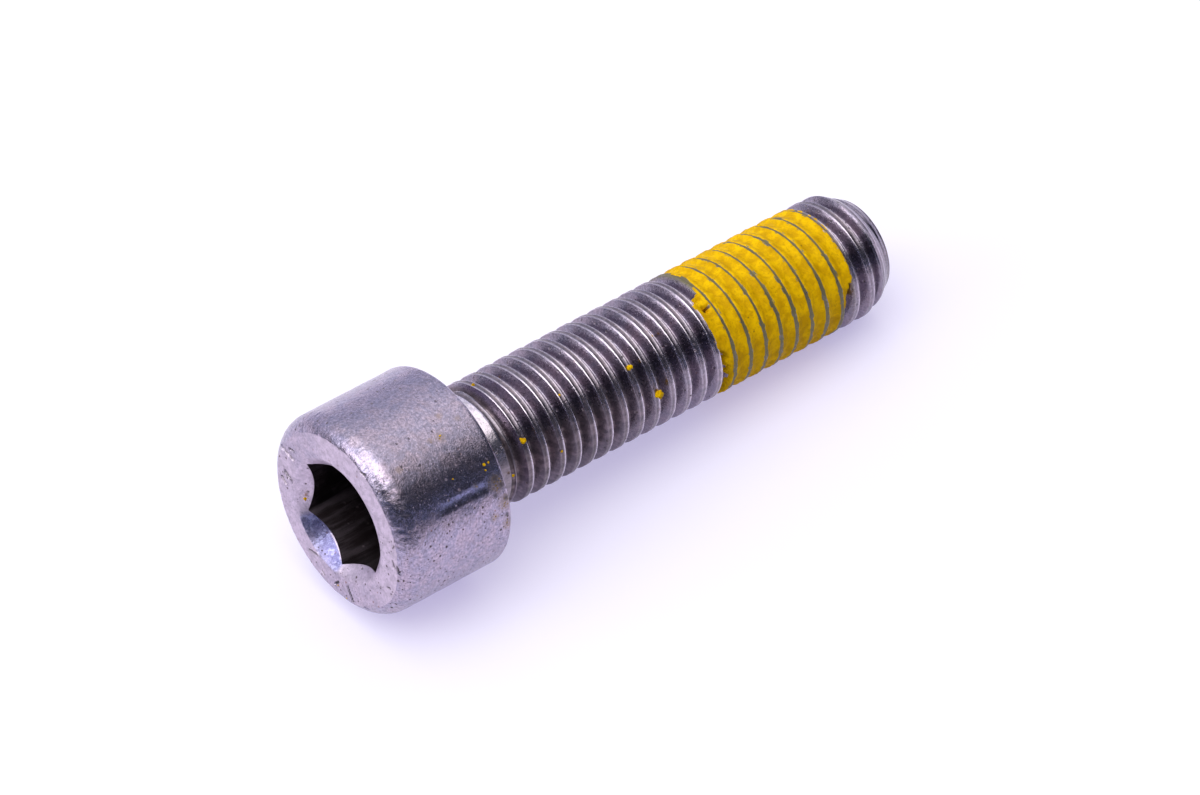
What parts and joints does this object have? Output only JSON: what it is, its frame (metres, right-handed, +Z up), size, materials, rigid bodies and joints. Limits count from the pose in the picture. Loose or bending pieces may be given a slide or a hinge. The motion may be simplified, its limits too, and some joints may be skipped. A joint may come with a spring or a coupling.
{
  "type": "hex socket cap screw",
  "caption": "Hex socket cap screw with a cylindrical head, a thread up to the head and a dry locking coat in the last threads; it lies at rest.",
  "frame": {"origin": "on the surface that the screw lies on, at the centre of its box", "axes": "+Z up, +X along the screw from its head to its tip, as it lies with the tip 4.5 degrees low"},
  "size_m": [0.0504, 0.0158, 0.0164],
  "materials": {
    "screw_steel": "satin, with fine pits and brown specks",
    "coat_yellow": "matte, blotchy"
  },
  "bodies": {
    "root": {"screw": "screw_steel", "locking_coat": "coat_yellow"}
  },
  "joints": []
}
